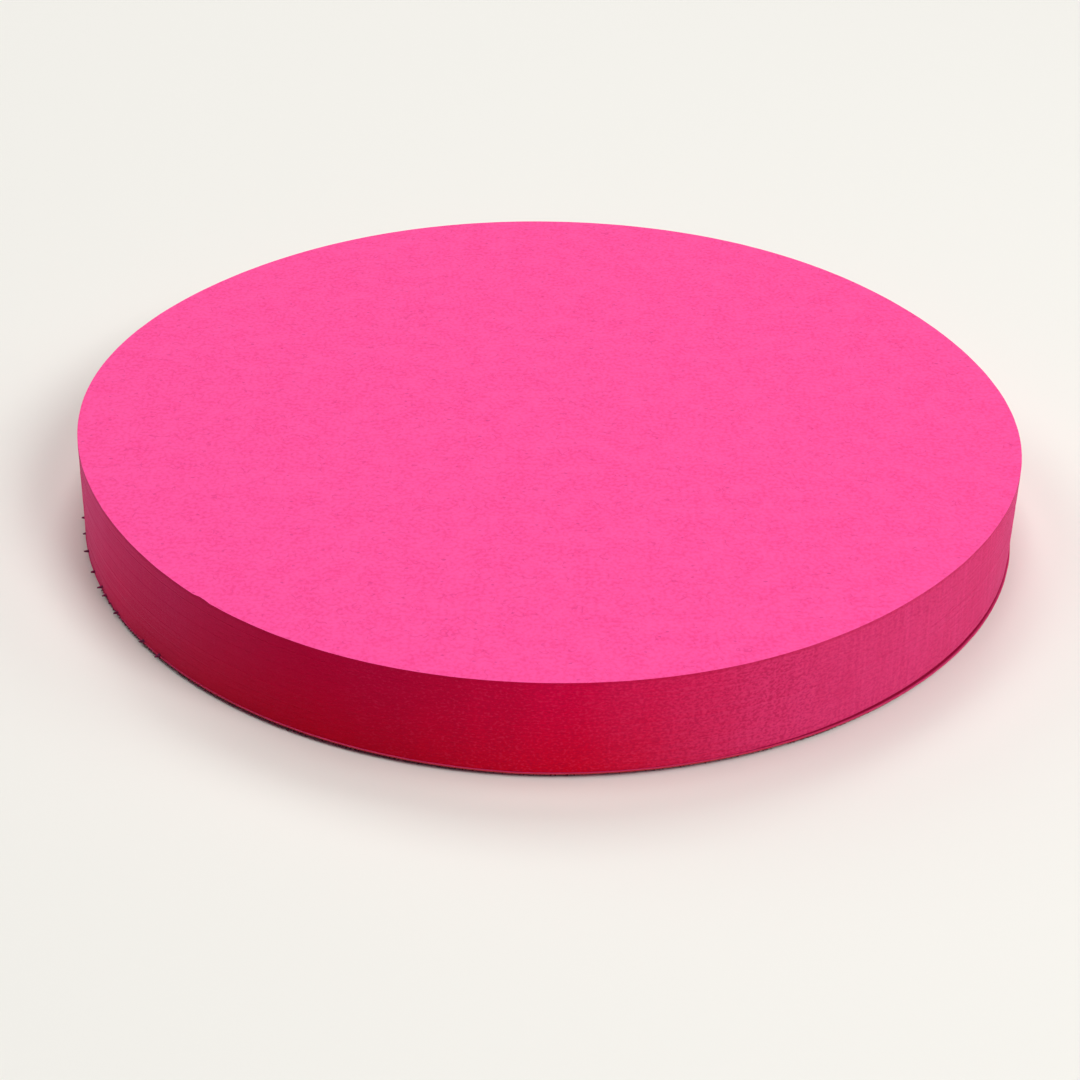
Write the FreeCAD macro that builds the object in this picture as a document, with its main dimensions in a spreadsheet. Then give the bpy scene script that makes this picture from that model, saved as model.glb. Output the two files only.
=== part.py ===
import FreeCAD, Part
import math
import os
import Sketcher

# Round pad of sticky notes, die-cut from fluorescent pink paper.
# Frame: +Z up, origin on the table under the middle of the pad, the seen side towards -Y.
# The pad is two pieces: the block of notes, held together by the glue on each note's back,
# and the last sheet under it, which has let go of the block along the right of the near side.

DRIVING_SIZES = [
    ("pad_diameter", 70, "across the die-cut circle"),
    ("sheet_thickness", 0.1, "one note, 75 g paper"),
    ("sheet_count", 75, "all notes, the last one included"),
    ("sheets_per_line", 6, "notes between two hairlines in the cut edge"),
    ("line_depth", 0.06, "how far a hairline runs in from the cut edge"),
    ("line_opening", 0.05, "height of a hairline at the cut edge"),
    ("curl_turn", 65, "degrees from +X to the line along which the pad curls; the curl is at its near end"),
    ("curl_width", 24, "from the rim in to where the curl starts"),
    ("curl_lift", 0.4, "how high the rim stands off the table in the middle of the curl"),
    ("gap_turn", 145, "degrees from +X to the line along which the gap opens; the gap is at its near end"),
    ("gap_width", 8, "from the rim in to where the block and the last sheet part"),
    ("gap_opening", 0.3, "height of the gap at the rim"),
    ("cutter_overrun", 1, "how far each cutting shape runs past what it cuts"),
]

doc = FreeCAD.newDocument("sticky_note_pad")
sheet = doc.addObject("Spreadsheet::Sheet", "Sizes")
for row, (name, value, meaning) in enumerate(DRIVING_SIZES, start=1):
    sheet.set(f"A{row}", name)
    sheet.set(f"B{row}", str(value))
    sheet.set(f"C{row}", meaning)
    sheet.setAlias(f"B{row}", name)
doc.recompute()

# Formulas shared by the pieces
PAD_RADIUS = "Sizes.pad_diameter / 2"
BLOCK_HEIGHT = "(Sizes.sheet_count - 1) * Sizes.sheet_thickness"
LINE_PITCH = "Sizes.sheets_per_line * Sizes.sheet_thickness"
LINE_COUNT = "floor((Sizes.sheet_count - 2) / Sizes.sheets_per_line)"
CURL_START = f"({PAD_RADIUS} - Sizes.curl_width)"
CURL_RADIUS = "(Sizes.curl_width ^ 2 + Sizes.curl_lift ^ 2) / (2 * Sizes.curl_lift)"
INNER_CURL_RADIUS = f"({CURL_RADIUS} - Sizes.sheet_thickness)"
GAP_START = f"({PAD_RADIUS} - Sizes.gap_width)"
GAP_RADIUS = "(Sizes.gap_width ^ 2 + Sizes.gap_opening ^ 2) / (2 * Sizes.gap_opening)"
REACH = f"({PAD_RADIUS} + Sizes.cutter_overrun)"


def size(formula):
    return float(sheet.evalExpression(formula))


def new_body(name):
    body = doc.addObject("PartDesign::Body", name)
    body.Label = name
    return body


def origin_feature(body, role):
    return next(part for part in body.Origin.OriginFeatures if part.Role == role)


def new_sketch(body, name, plane, turn=None):
    # An upright sketch may be turned about the pad's axis by a size from the sheet.
    sketch = body.newObject("Sketcher::SketchObject", name)
    sketch.AttachmentSupport = [(origin_feature(body, plane), "")]
    sketch.MapMode = "FlatFace"
    if turn:
        upright = FreeCAD.Rotation(FreeCAD.Vector(0, 1, 0), size(turn))
        sketch.AttachmentOffset = FreeCAD.Placement(FreeCAD.Vector(), upright)
        sketch.setExpression("AttachmentOffset.Rotation.Angle", turn)
    return sketch


def drive(sketch, name, constraint, formula):
    # Adds a dimension to a sketch and ties it to the sheet.
    index = sketch.addConstraint(constraint)
    sketch.renameConstraint(index, name)
    sketch.setExpression(f".Constraints.{name}", formula)


def place_point(sketch, name, edge, end, across=None, up=None):
    # Dimensions one end of an edge from the sketch's origin, across and up.
    if across:
        here = Sketcher.Constraint("DistanceX", -1, 1, edge, end, size(across))
        drive(sketch, f"{name}_across", here, across)
    if up:
        here = Sketcher.Constraint("DistanceY", -1, 1, edge, end, size(up))
        drive(sketch, f"{name}_up", here, up)


def straight(sketch, start, end):
    return sketch.addGeometry(Part.LineSegment(FreeCAD.Vector(*start, 0), FreeCAD.Vector(*end, 0)))


def close_loop(sketch, edges):
    # Joins each edge's end to the start of the one after it.
    for edge, following in zip(edges, edges[1:] + edges[:1]):
        sketch.addConstraint(Sketcher.Constraint("Coincident", edge, 2, following, 1))


def disc(body, name, height):
    # The die-cut circle, padded up from the body's base plane.
    outline = new_sketch(body, f"{name}_outline", "XY_Plane")
    circle = Part.Circle(FreeCAD.Vector(), FreeCAD.Vector(0, 0, 1), size(PAD_RADIUS))
    rim = outline.addGeometry(circle)
    outline.addConstraint(Sketcher.Constraint("Coincident", rim, 3, -1, 1))
    across = Sketcher.Constraint("Diameter", rim, size("Sizes.pad_diameter"))
    drive(outline, "rim_diameter", across, "Sizes.pad_diameter")
    pad = body.newObject("PartDesign::Pad", name)
    pad.Profile = outline
    pad.setExpression("Length", height)
    outline.Visibility = False
    return pad


def bend(sketch, start, radius, start_height=None):
    # An arc that leaves the level at `start` from the middle and rises towards the rim, on the near side.
    start_x = -size(start)
    start_y = size(start_height) if start_height else 0
    bend_radius = size(radius)
    swept = math.asin((size(REACH) + start_x) / bend_radius)
    centre = FreeCAD.Vector(start_x, start_y + bend_radius, 0)
    circle = Part.Circle(centre, FreeCAD.Vector(0, 0, 1), bend_radius)
    arc = sketch.addGeometry(Part.ArcOfCircle(circle, -math.pi / 2 - swept, -math.pi / 2))
    bend_size = Sketcher.Constraint("Radius", arc, bend_radius)
    drive(sketch, "bend_radius", bend_size, radius)
    place_point(sketch, "bend_start", arc, 2, across=f"-{start}", up=start_height)
    if not start_height:
        sketch.addConstraint(Sketcher.Constraint("PointOnObject", arc, 2, -1))
    sketch.addConstraint(Sketcher.Constraint("Vertical", arc, 3, arc, 2))
    place_point(sketch, "bend_end", arc, 1, across=f"-{REACH}")
    return arc


def cut_through(body, name, sketch):
    volume_before = body.Shape.Volume
    cut = body.newObject("PartDesign::Pocket", name)
    cut.Profile = sketch
    cut.Type = "ThroughAll"
    cut.Midplane = True
    sketch.Visibility = False
    doc.recompute()
    if body.Shape.Volume >= volume_before:
        raise RuntimeError(f"{name} removed nothing")
    return cut


def cut_under_bend(body, name, turn, start, radius):
    # Takes away what lies under a bend of the underside.
    sketch = new_sketch(body, f"{name}_profile", "XZ_Plane", turn)
    arc = bend(sketch, start, radius)
    near, far = -size(start), -size(REACH)
    low = -size("Sizes.cutter_overrun")
    inner_side = straight(sketch, (near, 0), (near, low))
    floor = straight(sketch, (near, low), (far, low))
    outer_side = straight(sketch, (far, low), (far, 0))
    close_loop(sketch, [arc, inner_side, floor, outer_side])
    sketch.addConstraint(Sketcher.Constraint("Vertical", inner_side))
    sketch.addConstraint(Sketcher.Constraint("Horizontal", floor))
    sketch.addConstraint(Sketcher.Constraint("Vertical", outer_side))
    place_point(sketch, "floor", floor, 1, up="-Sizes.cutter_overrun")
    return cut_through(body, name, sketch)


def cut_over_sheet(body, name):
    # Takes away what lies over the last sheet, level in the middle and along its curl.
    sketch = new_sketch(body, f"{name}_profile", "XZ_Plane", "Sizes.curl_turn")
    arc = bend(sketch, CURL_START, INNER_CURL_RADIUS, "Sizes.sheet_thickness")
    top_formula = "Sizes.curl_lift + Sizes.sheet_thickness + Sizes.cutter_overrun"
    top = size(top_formula)
    level = size("Sizes.sheet_thickness")
    near, far, back = -size(CURL_START), -size(REACH), size(REACH)
    flat = straight(sketch, (near, level), (back, level))
    back_side = straight(sketch, (back, level), (back, top))
    ceiling = straight(sketch, (back, top), (far, top))
    outer_side = straight(sketch, (far, top), (far, level))
    close_loop(sketch, [arc, flat, back_side, ceiling, outer_side])
    sketch.addConstraint(Sketcher.Constraint("Horizontal", flat))
    sketch.addConstraint(Sketcher.Constraint("Vertical", back_side))
    sketch.addConstraint(Sketcher.Constraint("Horizontal", ceiling))
    sketch.addConstraint(Sketcher.Constraint("Vertical", outer_side))
    place_point(sketch, "back_corner", ceiling, 1, across=REACH, up=top_formula)
    return cut_through(body, name, sketch)


def cut_edge_lines(body, name):
    # The hairlines in the cut edge, where the notes part a little, as one groove repeated up the block.
    sketch = new_sketch(body, f"{name}_profile", "XZ_Plane")
    bottom_formula = f"{PAD_RADIUS} - Sizes.line_depth"
    mouth_formula = f"{PAD_RADIUS} + Sizes.line_depth"
    bottom, mouth = size(bottom_formula), size(mouth_formula)
    level, half = size(LINE_PITCH), size("Sizes.line_opening")
    lower = straight(sketch, (bottom, level), (mouth, level - half))
    outside = straight(sketch, (mouth, level - half), (mouth, level + half))
    upper = straight(sketch, (mouth, level + half), (bottom, level))
    close_loop(sketch, [lower, outside, upper])
    sketch.addConstraint(Sketcher.Constraint("Vertical", outside))
    place_point(sketch, "line_bottom", lower, 1, across=bottom_formula, up=LINE_PITCH)
    place_point(sketch, "lower_lip", outside, 1, across=mouth_formula, up=f"{LINE_PITCH} - Sizes.line_opening")
    place_point(sketch, "upper_lip", outside, 2, up=f"{LINE_PITCH} + Sizes.line_opening")
    groove = body.newObject("PartDesign::Groove", f"{name}_first")
    groove.Profile = sketch
    groove.ReferenceAxis = (origin_feature(body, "Z_Axis"), [""])
    groove.Angle = 360
    sketch.Visibility = False
    lines = body.newObject("PartDesign::LinearPattern", name)
    lines.Originals = [groove]
    lines.Direction = (origin_feature(body, "Z_Axis"), [""])
    lines.setExpression("Length", f"({LINE_COUNT} - 1) * {LINE_PITCH}")
    lines.setExpression("Occurrences", LINE_COUNT)
    body.Tip = lines
    return lines


def make_bottom_sheet():
    # One note, flat on the table, its near left rim curled up with the block.
    body = new_body("bottom_sheet")
    disc(body, "sheet_blank", "Sizes.curl_lift + Sizes.sheet_thickness")
    doc.recompute()
    cut_over_sheet(body, "over_sheet")
    cut_under_bend(body, "under_curl", "Sizes.curl_turn", CURL_START, CURL_RADIUS)
    return body


def make_note_stack():
    # The rest of the notes as one block, standing on the last sheet.
    body = new_body("note_stack")
    body.setExpression("Placement.Base.z", "Sizes.sheet_thickness")
    disc(body, "block", BLOCK_HEIGHT)
    doc.recompute()
    cut_under_bend(body, "curl_seat", "Sizes.curl_turn", CURL_START, INNER_CURL_RADIUS)
    cut_under_bend(body, "sheet_gap", "Sizes.gap_turn", GAP_START, GAP_RADIUS)
    cut_edge_lines(body, "edge_lines")
    return body


pieces = [make_bottom_sheet(), make_note_stack()]
doc.recompute()

for thing in doc.Objects:
    if "Invalid" in thing.State or "Error" in thing.State:
        raise RuntimeError(f"{thing.Label} failed to build")

os.makedirs("parts", exist_ok=True)
for piece in pieces:
    if piece.Shape.isNull() or not piece.Shape.isValid() or len(piece.Shape.Solids) != 1:
        raise RuntimeError(f"{piece.Label} is not one valid solid")
    piece.Shape.exportStep(f"parts/{piece.Label}.step")
    box = piece.Shape.BoundBox
    print(piece.Label, f"{piece.Shape.Volume:.2f} mm3, z {box.ZMin:.3f} to {box.ZMax:.3f}")
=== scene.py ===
import math

import bpy
from mathutils import Matrix, Vector


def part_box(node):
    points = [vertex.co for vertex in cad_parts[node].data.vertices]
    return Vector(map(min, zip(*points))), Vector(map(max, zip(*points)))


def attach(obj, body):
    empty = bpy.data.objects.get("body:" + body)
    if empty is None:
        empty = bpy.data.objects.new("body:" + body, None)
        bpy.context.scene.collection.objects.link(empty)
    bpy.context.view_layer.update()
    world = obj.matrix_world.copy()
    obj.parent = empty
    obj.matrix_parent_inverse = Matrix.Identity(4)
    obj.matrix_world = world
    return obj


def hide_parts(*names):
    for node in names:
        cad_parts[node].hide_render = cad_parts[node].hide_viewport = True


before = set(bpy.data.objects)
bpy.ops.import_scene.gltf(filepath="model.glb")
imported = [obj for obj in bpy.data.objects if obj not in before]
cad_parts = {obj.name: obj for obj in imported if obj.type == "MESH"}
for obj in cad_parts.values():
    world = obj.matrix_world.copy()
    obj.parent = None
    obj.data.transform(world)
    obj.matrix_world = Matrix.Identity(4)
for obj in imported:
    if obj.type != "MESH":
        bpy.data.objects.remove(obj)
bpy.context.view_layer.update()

# A round pad of fluorescent pink sticky notes, die-cut as one stack.
# Lengths are in metres, and directions turn from +X towards +Y.
# The pad stands on z = 0 with its middle on the z axis, and its near side is towards -Y.

MM = 0.001

# The pad as the frame gives it
block_low, block_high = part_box("note_stack")
sheet_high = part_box("bottom_sheet")[1]
PAD_HEIGHT = block_high.z
SHEET_THICKNESS = block_low.z
SHEETS_IN_BLOCK = round((PAD_HEIGHT - SHEET_THICKNESS) / SHEET_THICKNESS)
WIDEST_RADIUS = (block_high.x - block_low.x) / 2
CURL_LIFT = sheet_high.z - SHEET_THICKNESS

# The curl and the gap of the near rim, as in the part's source: direction from the middle, width and height
CURL_DIRECTION = math.radians(245)
CURL_WIDTH = 24 * MM
GAP_DIRECTION = math.radians(325)
GAP_WIDTH = 8 * MM
GAP_OPENING = 0.3 * MM

# The rim of the last sheet stands off the table all round the near side, not only at the curl
RIM_LIFT = 0.38 * MM
RIM_LIFT_WIDTH = 20 * MM
RIM_LIFT_DIRECTION = math.radians(286)

# The die leaves the pad a little out of round, most of all at the top.
# Each lobe: how many go round the rim, its share of the radius, and where it peaks, in degrees.
LOBES = [(2, 0.0019, 48.1), (3, 0.0027, 33.6), (4, 0.0058, -8.6), (6, 0.0024, -4.4)]
LOBES_AT_BASE = 0.3

# The mean radius leaves the lobes room inside the widest one
MEAN_RADIUS = WIDEST_RADIUS * 0.9885

# The blade wavered on its way round: how many marks to a radius, and how little they change up the edge
WAVER_MARKS = 22.0
WAVER_UP_EDGE = 0.02

# A knock in the top edge: direction, half its width as an angle, how far down it goes and how deep it is
KNOCK_DIRECTION = math.radians(229)
KNOCK_HALF_ANGLE = math.radians(1.0)
KNOCK_DEPTH_DOWN = 0.8 * MM
KNOCK_PUSHED_IN = 0.12 * MM

# The last sheet reaches a little past the block, most of all towards the gap
LAST_SHEET_STANDS_OUT = 0.08 * MM
LAST_SHEET_SHIFT = 0.06 * MM

# How finely a stack is drawn. Its faces' rings crowd towards the rim by a power.
STEPS_ROUND = 400
RINGS_ACROSS = 9
RINGS_CROWD = 2.5
ROWS_PER_SHEET = 3
MERGE_DISTANCE = 0.002 * MM
SHARP_FROM = math.radians(25)

# A face ends just short of the full radius, where the cut edge begins
FACE_ENDS = 0.9999

# The tip of a sliver, as a share of the sliver's thickness
SLIVER_TIP = 0.15

# How much painted shade a side that lies against the other piece still has at the very rim, where light gets
# in
COVERED_SHADE_AT_RIM = 0.35

# Where the edge's colour carries painted light, grain, a painted sheen, painted shade and the deepest painted
# shade. Each side has the direction that it is centred on, and how far that direction has to be faced, as a
# cosine, for its colour to start and be full.
EDGE_SIDES = {
    "painted_light": (math.radians(-32), 0.56, 1.0),
    "grainy": (math.radians(-84), 0.86, 1.0),
    "painted_sheen": (math.radians(-175), 0.5, 1.05),
    "painted_shade": (math.radians(-103), 0.45, 0.9),
    "painted_deepest_shade": (math.radians(-122), 0.84, 1.0),
}

# How unevenly one side's colour passes into the next, on the scale of those cosines
UNEVEN_BORDERS = 0.12

# How far below the top the ends of the top sheets start to darken, and where they are darkest
TOP_LIP_START = 0.28 * MM
TOP_LIP_FULL = 0.12 * MM

# Dark slivers under the last sheet, in stretches of the rim: painted shadow that fills the gap between its
# rim and the table
SHADOW_FIBRES = {
    "left": {
        "Burrs": 250,
        "Start": math.radians(204),
        "Stretch": math.radians(70),
        "Root radius": MEAN_RADIUS - 0.42 * MM,
        "Length": 0.5 * MM,
        "Thickness": 0.25 * MM,
        "Height": 0.2 * MM,
    },
    "near": {
        "Burrs": 170,
        "Start": math.radians(256),
        "Stretch": math.radians(48),
        "Root radius": MEAN_RADIUS - 0.47 * MM,
        "Length": 0.5 * MM,
        "Thickness": 0.25 * MM,
        "Height": 0.2 * MM,
    },
    "right": {
        "Burrs": 160,
        "Start": math.radians(298),
        "Stretch": math.radians(24),
        "Root radius": MEAN_RADIUS - 0.36 * MM,
        "Length": 0.34 * MM,
        "Thickness": 0.15 * MM,
        "Height": 0.12 * MM,
    },
}


def linear(hex_colour):
    """An sRGB hex colour as the linear colour that a socket takes."""
    channels = [int(hex_colour[at:at + 2], 16) / 255 for at in (1, 3, 5)]
    return [c / 12.92 if c <= 0.04045 else ((c + 0.055) / 1.055) ** 2.4 for c in channels] + [1.0]


def add(tree, kind, inputs=None, **settings):
    """Adds a node with its settings, and gives each input a value or a link."""
    made = tree.nodes.new(kind)
    for name, value in settings.items():
        setattr(made, name, value)
    for name, value in (inputs or {}).items():
        value = value.socket if isinstance(value, Field) else value
        if isinstance(value, bpy.types.NodeSocket):
            tree.links.new(value, made.inputs[name])
        else:
            made.inputs[name].default_value = value
    return made


class Field:
    """A number that varies over a mesh or a surface, so that a formula can be written as one."""

    def __init__(self, socket):
        self.socket = socket
        self.tree = socket.id_data

    def math(self, operation, *others):
        inputs = dict(enumerate((self, *others)))
        return Field(add(self.tree, "ShaderNodeMath", inputs, operation=operation).outputs[0])

    def __add__(self, other):
        return self.math("ADD", other)

    __radd__ = __add__

    def __sub__(self, other):
        return self.math("SUBTRACT", other)

    def __rsub__(self, other):
        return self.math("MULTIPLY", -1.0).math("ADD", other)

    def __mul__(self, other):
        return self.math("MULTIPLY", other)

    def __truediv__(self, other):
        return self.math("DIVIDE", other)

    def at_least(self, other):
        return self.math("MAXIMUM", other)

    def at_most(self, other):
        return self.math("MINIMUM", other)

    def whole(self):
        """Rounded down, where a value may have come out just under its whole number."""
        return (self + 0.01).math("FLOOR")


def fields(node):
    """A node's outputs by name, as fields."""
    return {socket.name: Field(socket) for socket in node.outputs if socket.enabled}


def between(value, low, high):
    """A field as a share of the way from low to high, kept from 0 to 1."""
    shared = (value - low) / (high - low)
    return shared.at_least(0.0).at_most(1.0)


def from_to(low, high, share):
    """The other way round: what lies at a share of the way from low to high."""
    return low + share * (high - low)


def new_tree(name, inputs):
    """A geometry node tree with its named inputs, and those inputs as fields."""
    tree = bpy.data.node_groups.new(name, "GeometryNodeTree")
    for label, kind, value in inputs:
        socket = tree.interface.new_socket(label, in_out="INPUT", socket_type=f"NodeSocket{kind}")
        if value is not None:
            socket.default_value = value
    tree.interface.new_socket("Mesh", in_out="OUTPUT", socket_type="NodeSocketGeometry")
    return tree, fields(add(tree, "NodeGroupInput"))


def cut_rim(tree, given, turn, height):
    """How far out the die cut the rim: its lobes, fuller at the top, the waver of its blade and the knock."""
    up_pad = height / PAD_HEIGHT
    lobes = [(turn * count - count * math.radians(peak)).math("COSINE") * size for count, size, peak in LOBES]
    fullness = from_to(LOBES_AT_BASE, 1, up_pad)
    compass = add(tree, "ShaderNodeCombineXYZ", {
        "X": turn.math("COSINE"),
        "Y": turn.math("SINE"),
        "Z": up_pad * WAVER_UP_EDGE,
    })
    waver = fields(add(tree, "ShaderNodeTexNoise", {
        "Vector": compass.outputs[0],
        "Scale": WAVER_MARKS,
        "Detail": 3.0,
    }))["Fac"]
    # The top sheets are pushed in at the knock
    from_knock = (turn - KNOCK_DIRECTION) / KNOCK_HALF_ANGLE
    below_top = (PAD_HEIGHT - height) / KNOCK_DEPTH_DOWN
    knock = (1.0 - from_knock * from_knock).at_least(0.0) * (1.0 - below_top).at_least(0.0)
    rim = given["Mean radius"] * (1.0 + sum(lobes) * fullness)
    return rim + (waver - 0.5) * given["Blade waver"] - knock * KNOCK_PUSHED_IN


def rise_towards(x, y, direction, width, height):
    """How far the rim stands up in a direction: nothing inside, then a bend that reaches `height` there."""
    outward = x * math.cos(direction) + y * math.sin(direction)
    past_start = (outward + (width - WIDEST_RADIUS)).at_least(0.0) / width
    return past_start * past_start * height


def die_cut_sheets():
    """A stack of round sheets as one closed skin: along the underside, up the cut edge and in over the top.

    Each sheet has a band of its own in the edge, and a fine notch parts it from the next.
    """
    tree, given = new_tree("die_cut_sheets", [
        ("Sheets", "Int", 1),
        ("Sheet thickness", "Float", SHEET_THICKNESS),
        ("Base height", "Float", 0.0),
        ("Mean radius", "Float", MEAN_RADIUS),
        ("Edge roundness", "Float", 0.2),
        ("Notch depth", "Float", 0.01 * MM),
        ("Stagger", "Float", 0.01 * MM),
        ("Blade waver", "Float", 0.05 * MM),
        ("Gap opening", "Float", 0.0),
        ("Shift across", "Float", 0.0),
        ("Shift along", "Float", 0.0),
        ("Covered side", "Int", -1),
        ("Seed", "Int", 7),
        ("Face material", "Material", None),
        ("Edge material", "Material", None),
    ])

    # A flat grid, whose columns go round the pad and whose rows go from its underside's middle to its top's
    wall_rows = given["Sheets"] * ROWS_PER_SHEET
    last_row = wall_rows + 2 * RINGS_ACROSS
    grid = add(tree, "GeometryNodeMeshGrid", {
        "Size X": 1.0,
        "Size Y": 1.0,
        "Vertices X": STEPS_ROUND + 1,
        "Vertices Y": last_row + 1.0,
    })
    place = fields(add(tree, "ShaderNodeSeparateXYZ", {0: add(tree, "GeometryNodeInputPosition").outputs[0]}))
    turn = (place["X"] + 0.5) * (2 * math.pi)
    row = ((place["Y"] + 0.5) * last_row).math("ROUND")

    # Which sheet a row belongs to, and where on its edge: 0 the notch below it, 1 its lower lip, 2 its upper
    wall_row = (row - RINGS_ACROSS).at_least(0.0).at_most(wall_rows)
    sheet = (wall_row / ROWS_PER_SHEET).whole()
    part = wall_row - sheet * ROWS_PER_SHEET
    is_lip = part.at_most(1.0)
    is_upper_lip = (part - 1.0).at_least(0.0)
    up_sheet = is_lip * given["Edge roundness"] + is_upper_lip * (1.0 - given["Edge roundness"] * 2.0)
    height = given["Base height"] + (sheet + up_sheet) * given["Sheet thickness"]

    # How far out a row lies, as a share of the rim's radius, with the rows closer together towards the rim
    from_middle = (row.at_most(last_row - row) / RINGS_ACROSS).at_most(1.0)
    share_out = 1.0 - (1.0 - from_middle).math("POWER", RINGS_CROWD)

    # The painted shade of the side that lies against the other piece, top (1) or underside (-1), which thins
    # out over its rim
    covered_shade = (row - last_row / 2.0) * given["Covered side"] - wall_rows / 2.0 + COVERED_SHADE_AT_RIM
    covered_shade = covered_shade.at_least(0.0).at_most(1.0)

    # No sheet lies quite over the one below
    slip = add(tree, "FunctionNodeRandomValue", {
        0: (-1.0, -1.0, 0.0),
        1: (1.0, 1.0, 0.0),
        "ID": sheet,
        "Seed": given["Seed"],
    }, data_type="FLOAT_VECTOR")
    slipped = fields(add(tree, "ShaderNodeSeparateXYZ", {0: slip.outputs[0]}))
    rim = cut_rim(tree, given, turn, height) - (1.0 - is_lip) * given["Notch depth"]
    out = rim * share_out
    stagger = given["Stagger"] * share_out
    x = turn.math("COSINE") * out + slipped["X"] * stagger + given["Shift across"]
    y = turn.math("SINE") * out + slipped["Y"] * stagger + given["Shift along"]

    # The near rim stands up a little, and the sheets above take up the rise between them
    curl = rise_towards(x, y, CURL_DIRECTION, CURL_WIDTH, CURL_LIFT)
    near_lift = rise_towards(x, y, RIM_LIFT_DIRECTION, RIM_LIFT_WIDTH, RIM_LIFT)
    gap = rise_towards(x, y, GAP_DIRECTION, GAP_WIDTH, given["Gap opening"])
    taken_up = (height - SHEET_THICKNESS) / (PAD_HEIGHT - SHEET_THICKNESS)
    z = height + (curl.at_least(near_lift) + gap) * (1.0 - taken_up).at_most(1.0)

    kept = grid.outputs["Mesh"]
    for name, value in [("sheet_number", sheet), ("share_out", share_out), ("covered_shade", covered_shade)]:
        kept = add(tree, "GeometryNodeStoreNamedAttribute", {
            "Geometry": kept,
            "Name": name,
            "Value": value,
        }, data_type="FLOAT", domain="POINT").outputs["Geometry"]
    shaped = add(tree, "GeometryNodeSetPosition", {
        "Geometry": kept,
        "Position": add(tree, "ShaderNodeCombineXYZ", {"X": x, "Y": y, "Z": z}).outputs[0],
    })
    closed = add(tree, "GeometryNodeMergeByDistance", {
        "Geometry": shaped.outputs["Geometry"],
        "Distance": MERGE_DISTANCE,
    })
    whole = add(tree, "GeometryNodeRealizeInstances", {"Geometry": closed.outputs["Geometry"]})
    edged = add(tree, "GeometryNodeSetMaterial", {
        "Geometry": whole.outputs["Geometry"],
        "Material": given["Edge material"],
    })
    out_there = add(tree, "GeometryNodeInputNamedAttribute", {"Name": "share_out"}, data_type="FLOAT")
    on_face = add(tree, "FunctionNodeCompare", {
        0: out_there.outputs[0],
        1: FACE_ENDS,
    }, operation="LESS_THAN")
    faced = add(tree, "GeometryNodeSetMaterial", {
        "Geometry": edged.outputs["Geometry"],
        "Selection": on_face.outputs[0],
        "Material": given["Face material"],
    })
    add(tree, "NodeGroupOutput", {0: faced.outputs["Geometry"]})
    return tree


def rim_burrs():
    """Slivers of paper that the die pushed out of the lowest sheets, along one stretch of the rim.

    Each is a thin cone that points outwards from its root, and leans up more often than down. Dark, under the
    last sheet's rim, the same slivers paint the shadow there.
    """
    tree, given = new_tree("rim_burrs", [
        ("Burrs", "Int", 9),
        ("Start", "Float", math.radians(184)),
        ("Stretch", "Float", math.radians(37)),
        ("Length", "Float", 0.7 * MM),
        ("Thickness", "Float", 0.4 * MM),
        ("Root radius", "Float", MEAN_RADIUS - 0.35 * MM),
        ("Height", "Float", 0.36 * MM),
        ("Seed", "Int", 3),
        ("Material", "Material", None),
    ])
    roots = add(tree, "GeometryNodeMeshLine", {"Count": given["Burrs"]})
    number = Field(add(tree, "GeometryNodeInputIndex").outputs[0])
    chance = []
    for salt in range(4):
        drawn = add(tree, "FunctionNodeRandomValue", {
            "ID": number,
            "Seed": given["Seed"] + salt,
        }, data_type="FLOAT")
        chance.append(fields(drawn)["Value"])
    turn = given["Start"] + (number + chance[0]) / given["Burrs"] * given["Stretch"]
    placed = add(tree, "GeometryNodeSetPosition", {
        "Geometry": roots.outputs["Mesh"],
        "Position": add(tree, "ShaderNodeCombineXYZ", {
            "X": turn.math("COSINE") * given["Root radius"],
            "Y": turn.math("SINE") * given["Root radius"],
            "Z": given["Height"] * from_to(0.75, 1.25, chance[1]),
        }).outputs[0],
    })
    sliver = add(tree, "GeometryNodeMeshCone", {
        "Vertices": 5,
        "Side Segments": 3,
        "Radius Top": given["Thickness"] * SLIVER_TIP,
        "Radius Bottom": given["Thickness"] * 0.5,
        "Depth": given["Length"],
    }, fill_type="NGON")
    lean = from_to(-0.28, 0.07, chance[2])
    spread = add(tree, "GeometryNodeInstanceOnPoints", {
        "Points": placed.outputs["Geometry"],
        "Instance": sliver.outputs["Mesh"],
        "Rotation": add(tree, "ShaderNodeCombineXYZ", {"Y": lean + math.pi / 2, "Z": turn}).outputs[0],
        "Scale": add(tree, "ShaderNodeCombineXYZ", {
            "X": from_to(0.7, 1.1, chance[3]),
            "Y": from_to(1.1, 0.7, chance[3]),
            "Z": from_to(0.8, 1.0, chance[1]),
        }).outputs[0],
    })
    whole = add(tree, "GeometryNodeRealizeInstances", {"Geometry": spread.outputs["Instances"]})
    coated = add(tree, "GeometryNodeSetMaterial", {
        "Geometry": whole.outputs["Geometry"],
        "Material": given["Material"],
    })
    add(tree, "NodeGroupOutput", {0: coated.outputs["Geometry"]})
    return tree


def grow(name, tree, values):
    """Runs a node tree on an empty mesh and returns the plain mesh object that it makes."""
    seed = bpy.data.objects.new(f"{name}_seed", bpy.data.meshes.new(f"{name}_seed"))
    bpy.context.collection.objects.link(seed)
    modifier = seed.modifiers.new("grow", "NODES")
    modifier.node_group = tree
    for item in tree.interface.items_tree:
        if item.in_out == "INPUT" and item.name in values:
            modifier[item.identifier] = values[item.name]
    depsgraph = bpy.context.evaluated_depsgraph_get()
    mesh = bpy.data.meshes.new_from_object(seed.evaluated_get(depsgraph), depsgraph=depsgraph)
    bpy.data.objects.remove(seed)
    mesh.name = name
    mesh.shade_smooth()
    mesh.set_sharp_from_angle(angle=SHARP_FROM)
    piece = bpy.data.objects.new(name, mesh)
    bpy.context.collection.objects.link(piece)
    return piece


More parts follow.
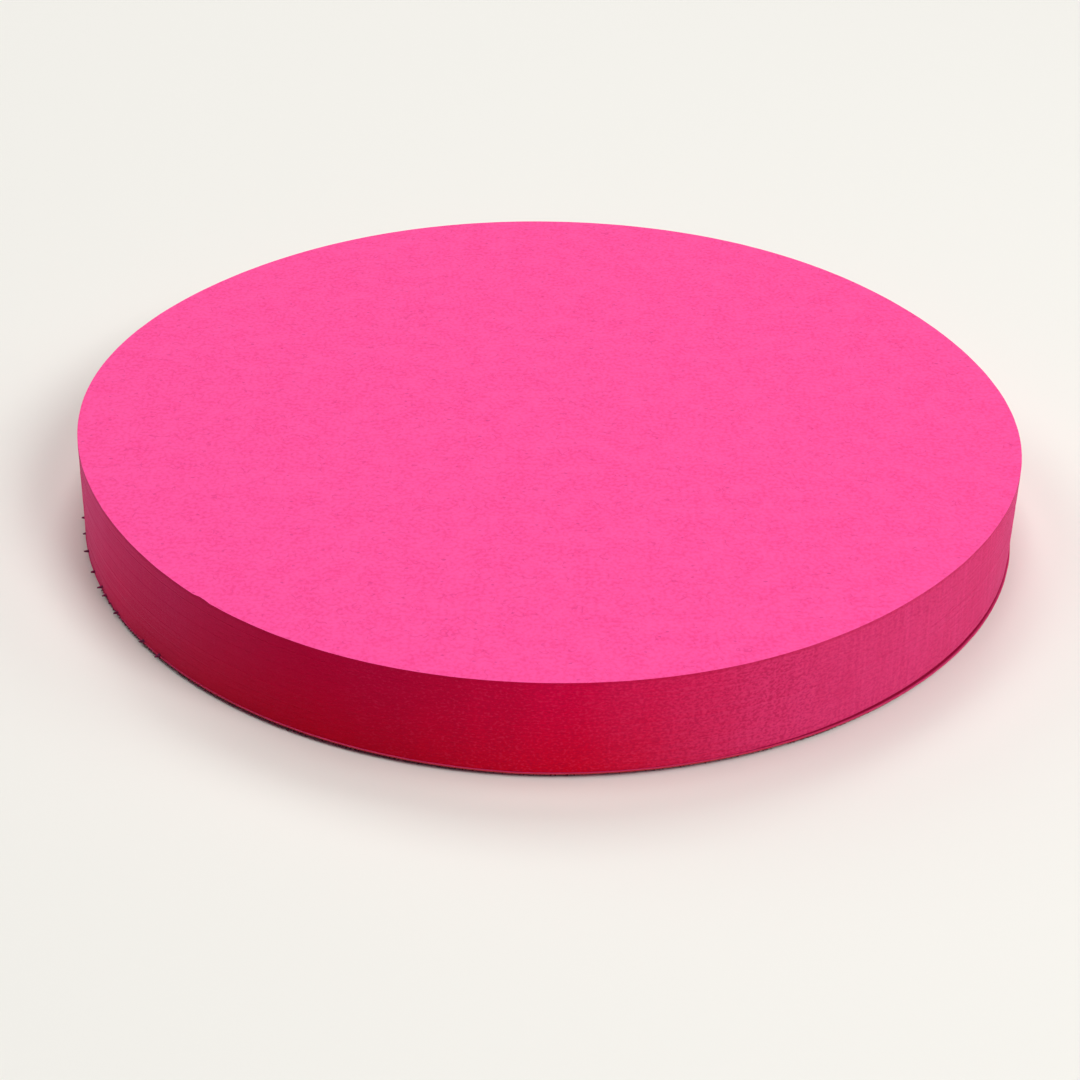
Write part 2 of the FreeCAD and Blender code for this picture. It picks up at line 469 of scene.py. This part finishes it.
def new_material(name, base_hex, roughness):
    """A material of one colour and roughness, with its node tree and its shader."""
    material = bpy.data.materials.new(name)
    material.use_nodes = True
    tree = material.node_tree
    shader = tree.nodes["Principled BSDF"]
    shader.inputs["Base Color"].default_value = linear(base_hex)
    shader.inputs["Roughness"].default_value = roughness
    return material, tree, shader


def mottle(tree, feature, stretch=(1, 1, 1), detail=2.0):
    """Soft noise whose marks are about `feature` across, longer along an axis whose stretch is over 1."""
    where = add(tree, "ShaderNodeTexCoord").outputs["Object"]
    spread = add(tree, "ShaderNodeMapping", {"Vector": where, "Scale": [1 / (feature * s) for s in stretch]})
    noise = add(tree, "ShaderNodeTexNoise", {"Vector": spread.outputs[0], "Scale": 1.0, "Detail": detail})
    return fields(noise)["Fac"]


def place_on_pad(tree):
    """Where a point of a surface is, in metres from the middle of the pad's base."""
    return fields(add(tree, "ShaderNodeSeparateXYZ", {0: add(tree, "ShaderNodeTexCoord").outputs["Object"]}))


def dress(tree, shader, layers, height, depth):
    """Gives a surface its colour, layer over layer, and its fine relief.

    Each layer is an amount and a colour, over the first one, which covers all. The relief is the field
    `height`, and `depth` deep.
    """
    colour = layers[0]
    for amount, over in layers[1:]:
        mixed = add(tree, "ShaderNodeMix", {"Factor": amount, 6: colour, 7: over}, data_type="RGBA")
        colour = mixed.outputs[2]
    tree.links.new(colour, shader.inputs["Base Color"])
    bump = add(tree, "ShaderNodeBump", {"Height": height, "Distance": depth, "Strength": 1.0})
    tree.links.new(bump.outputs[0], shader.inputs["Normal"])


def note_paper():
    """Uncoated wood-free paper dyed through with fluorescent pink.

    The eye sees an even, glossless and very bright pink, a little cloudy where the fibres lie thicker, with
    short curved fibres and a few darker specks. A single fibre, 0.03 mm wide, is too fine to show, so the
    marks are drawn at 0.26 mm and over. Where a sheet lies against the next, its face is painted the deep red
    of shade, which shows in the gap between the sheets.
    """
    material, tree, shader = new_material("fluorescent_note_paper", "#FE549E", 0.9)
    shader.inputs["Specular IOR Level"].default_value = 0.15
    clouds = mottle(tree, 1.8 * MM)
    grain = mottle(tree, 0.26 * MM, stretch=(1.1, 1.2, 1), detail=3.0)
    # A fibre shows where a slow noise crosses its middle value, and only in patches
    crossing = (mottle(tree, 0.9 * MM, detail=1.0) - 0.5).math("ABSOLUTE")
    patches = between(mottle(tree, 0.7 * MM, stretch=(2, 1, 1)), 0.53, 0.63)
    fibres = (1.0 - between(crossing, 0.0, 0.03)) * patches
    specks = between(mottle(tree, 0.3 * MM, stretch=(1.6, 1, 1), detail=0.0), 0.79, 0.84)
    covered_shade = add(tree, "ShaderNodeAttribute", attribute_name="covered_shade").outputs["Fac"]
    dress(tree, shader, [
        linear("#F5468D"),
        (between(grain, 0.36, 0.58), linear("#FE529D")),
        (between(clouds, 0.35, 0.7) * 0.4, linear("#FF5CA4")),
        (fibres * 0.6, linear("#E23A82")),
        (specks * 0.5, linear("#CC3078")),
        # painted shade where a sheet lies against the next
        (covered_shade, linear("#AC0640")),
    ], grain - fibres * 0.3, 0.008 * MM)
    return material


def facing(tree, side, patchy):
    """How fully a side's colour is there, from the way that the cut edge faces, with an uneven border."""
    direction, start, full = EDGE_SIDES[side]
    place = place_on_pad(tree)
    outward = place["X"] * math.cos(direction) + place["Y"] * math.sin(direction)
    share = between(outward / MEAN_RADIUS + patchy, start, full)
    return share * share * (3.0 - share * 2.0)


def cut_edge():
    """The die-cut edge of the stack: packed sheet ends.

    They look deeper in colour than the sheets' faces, because light sinks in between them and comes back as
    the dye's own red. Over that, light and shade are painted in by the way that the edge faces: painted shade
    on the near side, deepest at its left and redder lower down, a painted sheen on the left that fades
    towards the base, and painted light further round to the right. The near right is grainy, with short pale
    dashes. The blade leaves fine upright scores. A fibre's end is too fine to show, so the grain is drawn at
    0.17 mm.
    """
    material, tree, shader = new_material("die_cut_paper_edge", "#E8043A", 0.85)
    shader.inputs["Specular IOR Level"].default_value = 0.03
    shader.inputs["Sheen Weight"].default_value = 0.6
    shader.inputs["Sheen Roughness"].default_value = 0.3
    shader.inputs["Sheen Tint"].default_value = linear("#FFB0E8")
    number = Field(add(tree, "ShaderNodeAttribute", attribute_name="sheet_number").outputs["Fac"])
    drawn = add(tree, "ShaderNodeTexWhiteNoise", {"W": number.whole()}, noise_dimensions="1D")
    shade = fields(drawn)["Value"]
    scores = mottle(tree, 0.3 * MM, stretch=(1, 1, 18), detail=3.0)
    grain = mottle(tree, 0.17 * MM, stretch=(1.3, 1.3, 0.9), detail=1.0)
    patchy = (mottle(tree, 5 * MM, stretch=(1, 1, 3), detail=2.0) - 0.5) * UNEVEN_BORDERS
    amount = {side: facing(tree, side, patchy) for side in EDGE_SIDES}
    painted_light = amount["painted_light"]
    height = place_on_pad(tree)["Z"]
    up_pad = height / PAD_HEIGHT
    top_lip = between(height, PAD_HEIGHT - TOP_LIP_START, PAD_HEIGHT - TOP_LIP_FULL)
    dress(tree, shader, [
        linear("#DE1650"),
        (shade * 0.6, linear("#E81A56")),
        # painted shade on the near side, deepest at its left, and redder lower down
        (amount["painted_shade"], linear("#DE0128")),
        (amount["painted_shade"] * up_pad, linear("#E00148")),
        (amount["painted_deepest_shade"] * 0.9, linear("#C40020")),
        (amount["painted_deepest_shade"] * up_pad * 0.9, linear("#C2003E")),
        # painted sheen on the left, weaker towards the base
        (amount["painted_sheen"] * from_to(0.25, 0.9, up_pad), linear("#E83C7C")),
        # painted light on the near right
        (painted_light, linear("#E03A78")),
        (painted_light * shade * 0.5, linear("#E84480")),
        (between(scores, 0.35, 0.65) * 0.2 * (0.4 + painted_light), linear("#C00E44")),
        (between(grain, 0.5, 0.38) * (painted_light * 0.22 + amount["grainy"] * 0.26), linear("#B00C40")),
        (between(grain, 0.54, 0.68) * (0.04 + painted_light * 0.2 + amount["grainy"] * 0.12), linear("#EC4478")),
        (top_lip * 0.35, linear("#B8083C")),
    ], scores * 0.4 + grain * 0.6, 0.02 * MM)
    return material


def last_edge():
    """The cut end of the single last sheet: the same paper, paler because no sheets lie against it.

    It is painted redder and darker on the near side, as shade. Its grain, too, is drawn coarser than it is.
    """
    material, tree, shader = new_material("last_sheet_edge", "#DA3C70", 0.85)
    shader.inputs["Specular IOR Level"].default_value = 0.15
    grain = mottle(tree, 0.25 * MM, detail=2.0)
    dress(tree, shader, [
        linear("#C8305C"),
        (between(grain, 0.35, 0.65), linear("#DC4876")),
        # painted shade on the near side
        (facing(tree, "painted_shade", 0.0), linear("#BC3840")),
    ], grain, 0.02 * MM)
    return material


def burr_paper():
    """Slivers at the rim: the same paper, painted dark and purplish as the shade that they lie in."""
    material, tree, shader = new_material("dark_burr_painted_shade", "#701448", 0.9)
    grain = mottle(tree, 0.15 * MM, detail=1.0)
    dress(tree, shader, [linear("#560E3C"), (between(grain, 0.4, 0.6), linear("#8A1A54"))], grain, 0.02 * MM)
    return material


def make_pad():
    """Grows the pad's pieces and puts them on the frame's body."""
    paper, edge = note_paper(), cut_edge()
    sheets = die_cut_sheets()
    block = grow("block_of_notes", sheets, {
        "Sheets": SHEETS_IN_BLOCK,
        "Base height": SHEET_THICKNESS,
        "Gap opening": GAP_OPENING,
        "Face material": paper,
        "Edge material": edge,
    })
    last = grow("last_note", sheets, {
        "Mean radius": MEAN_RADIUS + LAST_SHEET_STANDS_OUT,
        "Shift across": LAST_SHEET_SHIFT * math.cos(GAP_DIRECTION),
        "Shift along": LAST_SHEET_SHIFT * math.sin(GAP_DIRECTION),
        "Covered side": 1,
        "Seed": 19,
        "Face material": paper,
        "Edge material": last_edge(),
    })
    slivers, shade_paper = rim_burrs(), burr_paper()
    burrs = grow("edge_burrs", slivers, {"Material": shade_paper})
    # dark slivers that paint the shadow under the last sheet's rim
    fibres = [
        grow(f"crushed_fibres_{stretch}", slivers, {"Seed": 11, "Material": shade_paper, **sizes})
        for stretch, sizes in SHADOW_FIBRES.items()
    ]
    for piece in (block, last, burrs, *fibres):
        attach(piece, "root")
    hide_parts("note_stack")
    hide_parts("bottom_sheet")


# The camera that took the photo, worked out from the pad's round top and base.
# Its place is in radii of the pad, with the pad's middle at the origin.
CAMERA_HEIGHT = 2.8190
CAMERA_BACK = 4.7308
CAMERA_LEFT = 0.01415
CAMERA_TILT_DOWN = math.radians(31.67)
CAMERA_ROLL = math.radians(1.33)
FOCAL_PIXELS = 2505.8
IMAGE_PIXELS = 1080
SENSOR_WIDTH = 36.0
NEAREST_SEEN = 0.01
FARTHEST_SEEN = 10.0

LAMP_DISTANCE = 0.6
SOFTBOX_SIZE = 0.25

# Each softbox: its direction from the pad and its elevation, both in degrees, and its power in watts
SOFTBOXES = {
    "overhead": (0, 90, 0.70),
    "back": (90, 55, 1.00),
    "back_left": (135, 32, 0.53),
    "left": (180, 55, 0.42),
    "front_right": (-45, 45, 1.76),
    "right": (0, 32, 0.60),
}

# The surround is seen at full strength, and lights the pad only a little
SURROUND_COLOUR = "#F0EFEB"
SURROUND_LIGHT = 0.05

# The floor, and how far from the pad it starts to fade into the surround and is gone
FLOOR_HALF = 1.5
FADE_START = 0.16
FADE_END = 0.4


def place_camera():
    """The photo's camera, which looks along +Y and down at the pad."""
    camera_data = bpy.data.cameras.new("photo_camera")
    camera = bpy.data.objects.new("photo_camera", camera_data)
    bpy.context.collection.objects.link(camera)
    camera_data.sensor_width = SENSOR_WIDTH
    camera_data.lens = FOCAL_PIXELS / IMAGE_PIXELS * SENSOR_WIDTH
    camera_data.clip_start = NEAREST_SEEN
    camera_data.clip_end = FARTHEST_SEEN
    ahead = Vector((0, math.cos(CAMERA_TILT_DOWN), -math.sin(CAMERA_TILT_DOWN)))
    level = Vector((1, 0, 0))
    up = level.cross(ahead)
    right = level * math.cos(CAMERA_ROLL) + up * math.sin(CAMERA_ROLL)
    top = up * math.cos(CAMERA_ROLL) - level * math.sin(CAMERA_ROLL)
    turned = Matrix((right, top, -ahead)).transposed().to_4x4()
    place = Vector((-CAMERA_LEFT, -CAMERA_BACK, CAMERA_HEIGHT)) * MEAN_RADIUS
    camera.matrix_world = Matrix.Translation(place) @ turned
    bpy.context.scene.camera = camera


def softbox(name, azimuth, elevation, watts):
    """A square softbox that faces the pad."""
    lamp = bpy.data.lights.new(name, "AREA")
    lamp.size = SOFTBOX_SIZE
    lamp.energy = watts
    made = bpy.data.objects.new(name, lamp)
    around, up = math.radians(azimuth), math.radians(elevation)
    towards = Vector((math.cos(around) * math.cos(up), math.sin(around) * math.cos(up), math.sin(up)))
    made.location = towards * LAMP_DISTANCE
    made.rotation_euler = (-made.location).to_track_quat("-Z", "Y").to_euler()
    bpy.context.collection.objects.link(made)


def lay_floor():
    """A pale floor without gloss that fades into the surround before the softboxes' light runs out."""
    mesh = bpy.data.meshes.new("floor")
    corners = [(x * FLOOR_HALF, y * FLOOR_HALF, 0) for x, y in ((-1, -1), (1, -1), (1, 1), (-1, 1))]
    mesh.from_pydata(corners, [], [(0, 1, 2, 3)])
    floor = bpy.data.objects.new("floor", mesh)
    bpy.context.collection.objects.link(floor)
    surface, tree, shader = new_material("pale_floor", "#F1EFE9", 1.0)
    shader.inputs["Specular IOR Level"].default_value = 0.0
    where = add(tree, "ShaderNodeTexCoord").outputs["Object"]
    from_pad = Field(add(tree, "ShaderNodeVectorMath", {0: where}, operation="LENGTH").outputs["Value"])
    seen = Field(add(tree, "ShaderNodeLightPath").outputs["Is Camera Ray"])
    distance = add(tree, "ShaderNodeEmission", {"Color": linear(SURROUND_COLOUR)})
    faded = add(tree, "ShaderNodeMixShader", {
        0: between(from_pad, FADE_START, FADE_END) * seen,
        1: shader.outputs[0],
        2: distance.outputs[0],
    })
    tree.links.new(faded.outputs[0], tree.nodes["Material Output"].inputs["Surface"])
    mesh.materials.append(surface)


def set_surround():
    """A pale surround, which the camera sees, and gloss and glass show."""
    world = bpy.data.worlds.new("studio")
    bpy.context.scene.world = world
    world.use_nodes = True
    tree = world.node_tree
    tree.nodes.clear()
    path = fields(add(tree, "ShaderNodeLightPath"))
    seen = path["Is Camera Ray"].at_least(path["Is Glossy Ray"]).at_least(path["Is Transmission Ray"])
    light = add(tree, "ShaderNodeBackground", {"Color": linear("#FFFFFF"), "Strength": SURROUND_LIGHT})
    backdrop = add(tree, "ShaderNodeBackground", {"Color": linear(SURROUND_COLOUR), "Strength": 1.0})
    chosen = add(tree, "ShaderNodeMixShader", {0: seen, 1: light.outputs[0], 2: backdrop.outputs[0]})
    add(tree, "ShaderNodeOutputWorld", {"Surface": chosen.outputs[0]})


make_pad()
place_camera()
lay_floor()
for name, placing in SOFTBOXES.items():
    softbox(name, *placing)
set_surround()
bpy.context.scene.view_settings.view_transform = "Standard"
